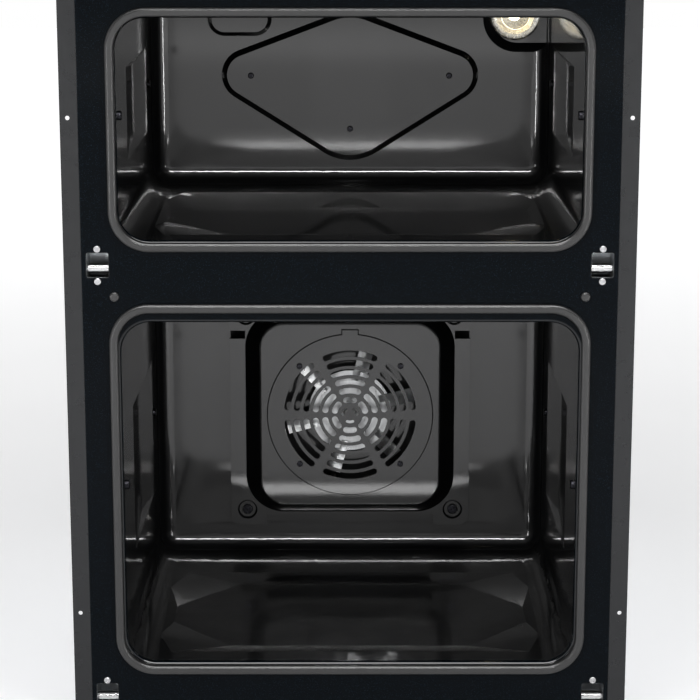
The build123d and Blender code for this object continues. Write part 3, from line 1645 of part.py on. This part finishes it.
def make_mains_entry():
    near = casing_depth - thin_sheet - terminal_depth
    low_x, high_x = terminal_x - terminal_half, terminal_x + terminal_half
    low, high = terminal_z - terminal_half_height, terminal_z + terminal_half_height
    body = block(low_x, high_x, near, casing_depth - thin_sheet, low, high)
    body = fillet(body.edges().filter_by(Axis.Y), terminal_round)
    for way in range(terminal_ways):
        x = terminal_x + (way - (terminal_ways - 1) / 2) * terminal_pitch
        body = body - disc(x, terminal_z, terminal_way_radius, near, near + terminal_depth / 2)
    save("terminal_block", body)
    nut_near = casing_depth - thin_sheet - gland_nut_height
    near = nut_near - gland_thread
    far = casing_depth + gland_reach
    gland = disc(gland_x, terminal_z, gland_radius, near, far)
    flange_far = casing_depth + gland_flange_thickness
    gland = gland + disc(gland_x, terminal_z, gland_flange_radius, casing_depth, flange_far)
    nut = Pos(gland_x, terminal_z) * RegularPolygon(gland_nut_radius, 6)
    gland = gland + slab(nut, nut_near, casing_depth - thin_sheet)
    gland = fillet(gland.edges().sort_by(Axis.Y)[-1], gland_round)
    save("cable_gland", gland - disc(gland_x, terminal_z, gland_bore, near - 1, far + 1))


def main():
    os.makedirs("parts", exist_ok=True)
    make_upper_liner()
    make_lower_liner()
    make_front_frame()
    save("upper_gasket", seal(upper_seal_half, upper_seal_low, upper_seal_high))
    save("lower_gasket", seal(lower_seal_half, lower_seal_low, lower_seal_high))
    save("door_buffers", door_buffer(-buffer_x), door_buffer(buffer_x))
    make_trims()
    make_hinges()
    make_casing_screws()
    make_lamps()
    make_fan_cover()
    make_cavity_screws()
    make_fan()
    make_motor_bracket()
    make_fan_motor()
    make_elements()
    make_probes_and_studs()
    make_insulation()
    make_casing()
    make_heat_shield()
    make_air_duct()
    make_blower()
    make_controls()
    make_mains_entry()


main()
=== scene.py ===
import math

import bmesh
import bpy
from mathutils import Matrix, Vector


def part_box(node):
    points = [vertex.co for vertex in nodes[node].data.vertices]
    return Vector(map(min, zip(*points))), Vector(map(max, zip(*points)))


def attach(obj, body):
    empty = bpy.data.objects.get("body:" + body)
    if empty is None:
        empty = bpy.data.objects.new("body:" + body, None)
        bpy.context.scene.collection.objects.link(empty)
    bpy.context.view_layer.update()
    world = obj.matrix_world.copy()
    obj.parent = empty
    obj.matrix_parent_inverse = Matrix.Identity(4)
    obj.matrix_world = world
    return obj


# The looks, the printed marks and the studio of a built-in double oven without its doors.
# Metres. X is across the front, +Y runs into the cabinet, +Z is up.

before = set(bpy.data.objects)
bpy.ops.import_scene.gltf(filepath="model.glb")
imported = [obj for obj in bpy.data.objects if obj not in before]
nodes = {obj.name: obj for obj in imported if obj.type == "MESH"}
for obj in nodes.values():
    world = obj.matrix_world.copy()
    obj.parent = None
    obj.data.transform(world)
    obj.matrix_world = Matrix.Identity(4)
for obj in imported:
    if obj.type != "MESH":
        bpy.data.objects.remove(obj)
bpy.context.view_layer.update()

# Materials

# Most of what a noise texture gives lies between these two
noise_low = 0.3
noise_high = 0.7


class Finish:
    """A node material with one Principled shader. Texture scales are per metre."""

    def __init__(self, name, **values):
        self.material = bpy.data.materials.new(name)
        self.material.use_nodes = True
        self.tree = self.material.node_tree
        self.tree.nodes.clear()
        self.shader = self.add("ShaderNodeBsdfPrincipled")
        output = self.add("ShaderNodeOutputMaterial")
        self.link(self.shader.outputs[0], output.inputs["Surface"])
        self.place = self.add("ShaderNodeTexCoord").outputs["Object"]
        for key, value in values.items():
            self.shader.inputs[key.replace("_", " ")].default_value = value

    def add(self, kind, **settings):
        node = self.tree.nodes.new(kind)
        for key, value in settings.items():
            setattr(node, key, value)
        return node

    def link(self, start, end):
        self.tree.links.new(start, end)

    def stretched(self, scale):
        """The object's coordinates, scaled apart on each axis."""
        node = self.add("ShaderNodeMapping")
        node.inputs["Scale"].default_value = scale
        self.link(self.place, node.inputs["Vector"])
        return node.outputs[0]

    def noise(self, scale, detail=3.0, roughness=0.5, place=None):
        node = self.add("ShaderNodeTexNoise")
        node.inputs["Scale"].default_value = scale
        node.inputs["Detail"].default_value = detail
        node.inputs["Roughness"].default_value = roughness
        self.link(place or self.place, node.inputs["Vector"])
        return node.outputs["Fac"]

    def cells(self, scale, output="Distance", feature="F1"):
        node = self.add("ShaderNodeTexVoronoi", feature=feature)
        node.inputs["Scale"].default_value = scale
        self.link(self.place, node.inputs["Vector"])
        return node.outputs[output]

    def ramp(self, value, *stops):
        """A colour from a value, by pairs of a place and a colour."""
        node = self.add("ShaderNodeValToRGB")
        for element, (place, colour) in zip(node.color_ramp.elements, stops):
            element.position = place
            element.color = (*colour, 1.0)
        self.link(value, node.inputs[0])
        return node.outputs[0]

    def spread(self, value, low, high, from_low=0.0, from_high=1.0):
        """The value from from_low to from_high, spread from low to high."""
        node = self.add("ShaderNodeMapRange")
        node.inputs["From Min"].default_value = from_low
        node.inputs["From Max"].default_value = from_high
        node.inputs["To Min"].default_value = low
        node.inputs["To Max"].default_value = high
        self.link(value, node.inputs[0])
        return node.outputs[0]

    def maths(self, operation, *values):
        node = self.add("ShaderNodeMath", operation=operation)
        for socket, value in zip(node.inputs, values):
            self.link(value, socket)
        return node.outputs[0]

    def colour(self, source):
        self.link(source, self.shader.inputs["Base Color"])
        return self

    def tones(self, value, dark, light):
        """Base colour from dark to light over the usual range of a noise."""
        return self.colour(self.ramp(value, (noise_low, dark), (noise_high, light)))

    def rough(self, source):
        self.link(source, self.shader.inputs["Roughness"])
        return self

    def patches(self, scale, low, high, detail=3.0):
        """Roughness from low to high in soft patches."""
        value = self.noise(scale, detail)
        return self.rough(self.spread(value, low, high, noise_low, noise_high))

    def bump(self, height, distance, strength=1.0, edge=0.0):
        """Surface relief. With an edge radius, sharp folds catch light as rounded ones."""
        node = self.add("ShaderNodeBump")
        node.inputs["Distance"].default_value = distance
        node.inputs["Strength"].default_value = strength
        self.link(height, node.inputs["Height"])
        if edge:
            fold = self.add("ShaderNodeBevel", samples=6)
            fold.inputs["Radius"].default_value = edge
            self.fold = fold.outputs[0]
            self.link(self.fold, node.inputs["Normal"])
        self.link(node.outputs[0], self.shader.inputs["Normal"])
        return self


def grey(level):
    """A grey with a touch of blue."""
    return (level, level, level * 1.02)


def shade(colour, share):
    return tuple(channel * share for channel in colour)


def enamel():
    """Black vitreous enamel: a soft deep gloss under a thin clear glassy skin."""
    f = Finish("enamel", IOR=1.35, Coat_Weight=1.0, Coat_Roughness=0.08, Coat_IOR=1.6)
    f.tones(f.noise(14.0, 4.0), (0.0008, 0.001, 0.0014), (0.0012, 0.0015, 0.002))
    f.patches(30.0, 0.4, 0.46, detail=2.0)
    f.bump(f.noise(160.0, 2.0), distance=0.00004, strength=0.4, edge=0.0012)
    return f.material


def speckled_enamel():
    """The front frame's enamel: black with tiny bluish specks, and glassy on its turned edges."""
    f = Finish("speckled_enamel", IOR=1.05, Coat_Roughness=0.1, Coat_IOR=1.5)
    grain = 1150.0
    near = f.spread(f.cells(grain), 1.0, 0.0, from_low=0.12, from_high=0.3)
    chosen = f.spread(f.cells(grain, "Color"), 0.0, 1.0, from_low=0.72, from_high=0.92)
    speck = f.maths("MULTIPLY", near, chosen)
    f.colour(f.ramp(speck, (0.0, (0.0012, 0.0027, 0.0044)), (0.6, (0.03, 0.05, 0.075))))
    f.patches(60.0, 0.3, 0.4)
    f.bump(f.noise(320.0, 2.0), distance=0.00006, strength=0.5, edge=0.0016)
    sides = f.add("ShaderNodeSeparateXYZ")
    f.link(f.fold, sides.inputs[0])
    # 1 on the flat front face, less on an edge that turns away from it
    facing = f.maths("ABSOLUTE", sides.outputs["Y"])
    coat = f.spread(facing, 1.0, 0.12, from_low=0.92, from_high=0.99)
    f.link(coat, f.shader.inputs["Coat Weight"])
    return f.material


def silicone(name, tone):
    """Moulded silicone rubber with a soft shine on its rounds."""
    f = Finish(name, IOR=1.5, Coat_Weight=0.5, Coat_Roughness=0.18, Coat_IOR=1.5)
    f.tones(f.noise(55.0, 4.0), grey(tone * 0.82), grey(tone * 1.12))
    f.patches(30.0, 0.34, 0.46)
    return f.bump(f.noise(900.0), distance=0.00004, strength=0.4, edge=0.0022).material


def metal(name, colour, low_rough, high_rough, stretch=None, grain=240.0):
    """Bare metal. With a stretch, its grain runs in lines."""
    f = Finish(name, Metallic=1.0)
    place = f.stretched(stretch) if stretch else None
    lines = f.noise(grain, 5.0, 0.6, place)
    low, high = 0.25, 0.75
    f.colour(f.ramp(lines, (low, shade(colour, 0.82)), (high, colour)))
    f.rough(f.spread(lines, low_rough, high_rough, low, high))
    return f.bump(lines, distance=0.00003, strength=0.5).material


def galvanised():
    """Zinc-coated sheet with its spangle."""
    f = Finish("galvanised", Metallic=1.0)
    spangle = f.cells(60.0, "Color")
    f.colour(f.ramp(spangle, (0.0, (0.5, 0.52, 0.54)), (1.0, (0.66, 0.68, 0.7))))
    f.rough(f.spread(spangle, 0.34, 0.52))
    return f.bump(f.noise(180.0), distance=0.00004, strength=0.4).material


def wool():
    """Mineral wool, with its fibres lying flat."""
    f = Finish("wool", Sheen_Weight=0.4)
    fibre = f.noise(160.0, 8.0, 0.7, f.stretched((1.0, 1.0, 6.0)))
    f.tones(fibre, (0.42, 0.36, 0.2), (0.7, 0.64, 0.44))
    f.rough(f.spread(fibre, 0.85, 1.0))
    return f.bump(fibre, distance=0.002).material


def plastic(name, colour, low_rough, high_rough, grain=900.0, depth=0.00003):
    """Moulded or coated, with a fine grain."""
    f = Finish(name, IOR=1.48)
    f.tones(f.noise(35.0), shade(colour, 0.85), colour)
    f.patches(70.0, low_rough, high_rough)
    return f.bump(f.noise(grain, 2.0), depth, strength=0.4).material


def sheath():
    """Heat-tinted steel sheath of a heating element."""
    f = Finish("element_sheath", Metallic=1.0)
    tint = f.noise(22.0, 4.0)
    f.tones(tint, (0.07, 0.065, 0.065), (0.16, 0.13, 0.11))
    f.rough(f.spread(tint, 0.4, 0.6))
    return f.bump(f.noise(700.0), distance=0.00005, strength=0.5).material


def lens_glass():
    """Clear warm glass whose ripples stand for a lamp lens's prisms."""
    f = Finish("lens_glass", IOR=1.47, Transmission_Weight=1.0)
    f.tones(f.noise(30.0), (0.96, 0.93, 0.86), (1.0, 1.0, 1.0))
    f.rough(f.spread(f.noise(50.0), 0.03, 0.07))
    return f.bump(f.noise(120.0, 1.0), distance=0.0004, strength=0.5).material


def bulb():
    """Lit glass capsule."""
    f = Finish("bulb_glass", Emission_Strength=5.0)
    warm = f.noise(90.0, 2.0)
    f.tones(warm, (1.0, 0.85, 0.6), (1.0, 0.95, 0.85))
    lit = f.ramp(warm, (noise_low, (1.0, 0.82, 0.52)), (noise_high, (1.0, 0.93, 0.78)))
    f.link(lit, f.shader.inputs["Emission Color"])
    return f.rough(f.spread(warm, 0.1, 0.3)).material


def board():
    """Green circuit board with a net of tracks."""
    f = Finish("module_board", IOR=1.5)
    tracks = f.cells(260.0, "Distance", "DISTANCE_TO_EDGE")
    f.colour(f.ramp(tracks, (0.0, (0.03, 0.12, 0.05)), (0.12, (0.015, 0.06, 0.03))))
    f.rough(f.spread(f.noise(80.0), 0.35, 0.5))
    return f.bump(tracks, distance=0.0001, strength=0.4).material


def display():
    """Dark smooth glass of the display window."""
    f = Finish("display_glass", IOR=1.5)
    f.tones(f.noise(25.0), (0.004, 0.004, 0.005), (0.008, 0.008, 0.01))
    f.rough(f.spread(f.noise(30.0), 0.04, 0.09))
    return f.bump(f.noise(60.0), distance=0.00003, strength=0.3).material


# A small scale on one axis draws the grain out along it
along_x = (0.05, 1.0, 1.0)
along_y = (1.0, 0.05, 1.0)
far_along_y = (1.0, 0.02, 1.0)
along_z = (1.0, 1.0, 0.2)
finishes = {
    "enamel": enamel(),
    "speckled_enamel": speckled_enamel(),
    "seal": silicone("seal", 0.013),
    "buffer": silicone("buffer", 0.018),
    "trim_black": plastic("trim_black", (0.009, 0.01, 0.012), 0.25, 0.35, grain=500.0),
    "galvanised": galvanised(),
    "screw_steel": metal("screw_steel", (0.58, 0.58, 0.59), 0.25, 0.4),
    "dark_screw": metal("dark_screw", (0.03, 0.03, 0.035), 0.2, 0.35),
    "roller_steel": metal("roller_steel", (0.72, 0.72, 0.72), 0.2, 0.34, along_x, grain=900.0),
    "wool": wool(),
    "fan_metal": metal("fan_metal", (0.78, 0.79, 0.8), 0.25, 0.4, along_z, grain=300.0),
    "shaft_steel": metal("shaft_steel", (0.5, 0.5, 0.5), 0.25, 0.4),
    "motor_iron": metal("motor_iron", (0.2, 0.2, 0.21), 0.4, 0.6, far_along_y, grain=900.0),
    "element_sheath": sheath(),
    "lamp_steel": metal("lamp_steel", (0.62, 0.62, 0.6), 0.2, 0.35),
    "lens_glass": lens_glass(),
    "bulb_glass": bulb(),
    "probe_steel": metal("probe_steel", (0.6, 0.6, 0.6), 0.2, 0.35, along_y, grain=900.0),
    "panel_black": plastic("panel_black", (0.008, 0.008, 0.009), 0.2, 0.24, 1200.0, 0.00001),
    "display_glass": display(),
    "module_board": board(),
    "knob_plastic": plastic("knob_plastic", (0.02, 0.02, 0.022), 0.3, 0.42),
    "button_plastic": plastic("button_plastic", (0.03, 0.03, 0.032), 0.3, 0.42),
    "switch_plastic": plastic("switch_plastic", (0.06, 0.06, 0.06), 0.4, 0.55),
    "blower_metal": metal("blower_metal", (0.6, 0.61, 0.62), 0.3, 0.45, along_x, grain=500.0),
    "terminal_plastic": plastic("terminal_plastic", (0.6, 0.58, 0.52), 0.4, 0.55),
    "gland_plastic": plastic("gland_plastic", (0.03, 0.03, 0.03), 0.4, 0.5),
}

# The slots of a CAD node are named after the materials in model.glb, and so are the finishes
for node in nodes.values():
    for holder in node.material_slots:
        holder.material = finishes[holder.material.name.split(".")[0]]

# Printed marks: a scale round each knob, and the filled pointer on each knob

dial_reach = {"function": 300.0, "temperature": 270.0}
tick_step = {"function": 30.0, "temperature": 27.0}
label_turn = 54
label_heat = 50
label_count = 6
dial_labels = {
    "function": {0: "0"},
    "temperature": {label_turn * at: str(label_heat * at) for at in range(label_count)},
}

# Places of marks are counted from the middle of the knob
tick_place = 0.0256
tick_width = 0.0007
tick_length = 0.0016
numbered_tick_length = 0.0028
number_place = 0.0305
number_height = 0.0052
# A number to the side of its knob moves out by this much for each digit after the first
digit_shift = 0.0014
# How far the print stands out from the panel, and how far it reaches into it
print_out = 0.00006
print_in = 0.0001
pointer_place = 0.0085
pointer_width = 0.0014
pointer_length = 0.0118
# The filling of a pointer's groove, counted in from the knob's face
filling_front = 0.00012
filling_back = 0.0005
# Straight pieces of each round end of a stroke
round_steps = 6

mark_paint = plastic("mark_paint", (0.7, 0.7, 0.68), 0.45, 0.6, 1500.0, 0.00001)
turn_up = Matrix.Rotation(math.radians(90.0), 4, "X")


def placed(name, data):
    """A new object of the scene that holds the data."""
    thing = bpy.data.objects.new(name, data)
    bpy.context.scene.collection.objects.link(thing)
    return thing


def printed(name, shapes):
    """One mesh object from a bmesh of thin raised print."""
    mesh = bpy.data.meshes.new(name)
    shapes.to_mesh(mesh)
    shapes.free()
    mesh.materials.append(mark_paint)
    return placed(name, mesh)


def stroke(shapes, centre, wide, long, front, back, angle=0.0):
    """A thin bar with round ends, upright and then turned clockwise about the centre."""
    x, z, out = centre
    outline = []
    for end, start in ((1, 0), (-1, 180)):
        for step in range(round_steps + 1):
            around = math.radians(start + 180 / round_steps * step)
            along = out + end * (long - wide) / 2 + math.sin(around) * wide / 2
            across = math.cos(around) * wide / 2
            outline.append((across, along))
    turn = math.radians(angle)
    rings = []
    for y in (front, back):
        ring = []
        for across, along in outline:
            place_x = x + across * math.cos(turn) + along * math.sin(turn)
            place_z = z - across * math.sin(turn) + along * math.cos(turn)
            ring.append(shapes.verts.new((place_x, y, place_z)))
        rings.append(ring)
    near, far = rings
    shapes.faces.new(near)
    shapes.faces.new(list(reversed(far)))
    for at in range(len(near)):
        after = (at + 1) % len(near)
        shapes.faces.new((near[after], near[at], far[at], far[after]))


def number(shapes, text, x, y, z):
    """A printed number that faces the front."""
    data = bpy.data.curves.new("number", "FONT")
    data.body = text
    data.size = number_height
    data.extrude = print_out
    data.align_x = "CENTER"
    data.align_y = "CENTER"
    source = bpy.data.objects.new("number", data)
    mesh = bpy.data.meshes.new_from_object(source)
    mesh.transform(Matrix.Translation((x, y, z)) @ turn_up)
    shapes.from_mesh(mesh)
    bpy.data.objects.remove(source)
    bpy.data.meshes.remove(mesh)


def scale_marks(shapes, kind, x, z, panel):
    """Ticks and numbers of one knob."""
    labels = dial_labels[kind]
    front, back = panel - print_out, panel + print_in
    steps = round(dial_reach[kind] / tick_step[kind])
    for step in range(steps + 1):
        angle = step * tick_step[kind]
        long = numbered_tick_length if angle in labels else tick_length
        stroke(shapes, (x, z, tick_place), tick_width, long, front, back, angle)
    for angle, text in labels.items():
        turn = math.radians(angle)
        out = number_place + digit_shift * (len(text) - 1) * abs(math.sin(turn))
        number(shapes, text, x + out * math.sin(turn), panel, z + out * math.cos(turn))


def pointer_filling(name, x, z, face):
    """The paint in the groove of one knob, which points up at rest."""
    shapes = bmesh.new()
    front, back = face + filling_front, face + filling_back
    stroke(shapes, (x, z, pointer_place), pointer_width, pointer_length, front, back)
    return printed(name, shapes)


panel_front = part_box("control_panel")[0][1]
scales = bmesh.new()
for cavity in ("upper", "lower"):
    for kind in dial_reach:
        low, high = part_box(f"{cavity}_{kind}_knob")
        knob_x, knob_z = (low[0] + high[0]) / 2, (low[2] + high[2]) / 2
        scale_marks(scales, kind, knob_x, knob_z, panel_front)
        filled = pointer_filling(f"{cavity}_{kind}_pointer", knob_x, knob_z, low[1])
        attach(filled, f"{cavity}_{kind}_dial")
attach(printed("dial_scales", scales), "oven")

# Studio: pale floor and surround, soft lights for the body, and strips, cards and a curtain
# that only glossy surfaces see

white = (1.0, 1.0, 1.0, 1.0)
surround_seen = 1.0
surround_light = 0.35
floor_reach = 9.0
# The floor's glow near the oven and far from it, and the distances between which it grows
glow_near = 0.4
glow_far = 0.74
glow_start = 0.7
glow_end = 3.0
curtain_half_width = 12.0
curtain_height = 12.0
curtain_y = -8.9
camera_place = (0.0, -2.5775, 0.9261)
camera_tilt = 77.41
camera_lens = 117.39
camera_sensor = 36.0


def surround():
    """The world is white to the camera, mirrors and glass, and dimmer as light."""
    world = bpy.data.worlds.new("studio")
    bpy.context.scene.world = world
    world.use_nodes = True
    tree = world.node_tree
    tree.nodes.clear()
    path = tree.nodes.new("ShaderNodeLightPath")
    seen = path.outputs["Is Camera Ray"]
    for name in ("Is Glossy Ray", "Is Transmission Ray"):
        either = tree.nodes.new("ShaderNodeMath")
        either.operation = "MAXIMUM"
        tree.links.new(seen, either.inputs[0])
        tree.links.new(path.outputs[name], either.inputs[1])
        seen = either.outputs[0]
    strength = tree.nodes.new("ShaderNodeMapRange")
    strength.inputs["To Min"].default_value = surround_light
    strength.inputs["To Max"].default_value = surround_seen
    tree.links.new(seen, strength.inputs[0])
    background = tree.nodes.new("ShaderNodeBackground")
    background.inputs["Color"].default_value = white
    tree.links.new(strength.outputs[0], background.inputs["Strength"])
    output = tree.nodes.new("ShaderNodeOutputWorld")
    tree.links.new(background.outputs[0], output.inputs["Surface"])


def sheet(name, corners):
    """A flat stage piece with one face."""
    mesh = bpy.data.meshes.new(name)
    mesh.from_pydata(corners, [], [(0, 1, 2, 3)])
    return placed(name, mesh)


def studio_floor():
    """A pale floor that glows to the camera, mirrors and glass, less near the oven's shadow."""
    reach = floor_reach
    corners = [(-reach, -reach, 0), (reach, -reach, 0), (reach, reach, 0), (-reach, reach, 0)]
    floor = sheet("studio_floor", corners)
    f = Finish("studio_floor", Emission_Color=white)
    f.tones(f.noise(3.0), grey(0.76), grey(0.8))
    path = f.add("ShaderNodeLightPath").outputs
    seen = f.maths("MAXIMUM", path["Is Camera Ray"], path["Is Glossy Ray"])
    seen = f.maths("MAXIMUM", seen, path["Is Transmission Ray"])
    away = f.add("ShaderNodeVectorMath", operation="LENGTH")
    f.link(f.place, away.inputs[0])
    glow = f.spread(away.outputs["Value"], glow_near, glow_far, glow_start, glow_end)
    f.link(f.maths("MULTIPLY", seen, glow), f.shader.inputs["Emission Strength"])
    f.rough(f.spread(f.noise(8.0), 0.7, 0.9))
    floor.data.materials.append(f.material)


def black_flag():
    """A black curtain behind the camera, seen only in glossy surfaces."""
    wide, high, y = curtain_half_width, curtain_height, curtain_y
    flag = sheet("black_flag", [(-wide, y, 0), (wide, y, 0), (wide, y, high), (-wide, y, high)])
    f = Finish("black_flag", IOR=1.0)
    f.tones(f.noise(3.0), grey(0.008), grey(0.012))
    f.rough(f.spread(f.noise(8.0), 0.9, 1.0))
    flag.data.materials.append(f.material)
    flag.visible_camera = False
    flag.visible_diffuse = False
    flag.visible_shadow = False
    flag.visible_transmission = False


def softbox(name, place, target, wide, high, radiance, only_gloss=False):
    """A rectangular light, either for the surfaces' own colour or only for their gloss."""
    data = bpy.data.lights.new(name, "AREA")
    data.shape = "RECTANGLE"
    data.size = wide
    data.size_y = high
    data.energy = radiance * math.pi * wide * high
    light = placed(name, data)
    light.location = place
    aim = Vector(target) - Vector(place)
    light.rotation_euler = aim.to_track_quat("-Z", "Y").to_euler()
    light.visible_camera = False
    light.visible_diffuse = not only_gloss
    light.visible_glossy = only_gloss


def gloss(name, place, target, wide, high, radiance):
    softbox(name, place, target, wide, high, radiance, only_gloss=True)


def camera():
    """In front of the oven and a little above it, tilted down."""
    data = bpy.data.cameras.new("camera")
    data.sensor_width = camera_sensor
    data.lens = camera_lens
    holder = placed("camera", data)
    holder.location = camera_place
    holder.rotation_euler = (math.radians(camera_tilt), 0.0, 0.0)
    bpy.context.scene.camera = holder


surround()
studio_floor()
black_flag()
for side, name in ((-1, "left"), (1, "right")):
    softbox(
        f"{name}_softbox",
        place=(1.3 * side, -2.0, 0.9),
        target=(0.0, 0.0, 0.5),
        wide=0.35,
        high=1.8,
        radiance=7.0,
    )
    gloss(
        f"{name}_strip",
        place=(1.15 * side, -2.2, 0.35),
        target=(0.0, 0.0, 0.35),
        wide=0.06,
        high=0.6,
        radiance=60.0,
    )
softbox(
    "top_softbox",
    place=(0.0, -1.6, 2.2),
    target=(0.0, 0.0, 0.45),
    wide=1.6,
    high=0.9,
    radiance=2.5,
)
gloss(
    "top_strip",
    place=(0.0, -2.9, 1.85),
    target=(0.0, 0.0, 0.4),
    wide=1.0,
    high=0.15,
    radiance=60.0,
)
gloss(
    "overhead_card",
    place=(0.0, -0.9, 2.6),
    target=(0.0, -0.9, 0.0),
    wide=2.4,
    high=1.4,
    radiance=9.0,
)
gloss(
    "low_card",
    place=(0.0, -2.4, 0.64),
    target=(0.0, 0.0, 0.64),
    wide=1.6,
    high=0.4,
    radiance=0.8,
)
camera()

bpy.context.scene.view_settings.view_transform = "Standard"
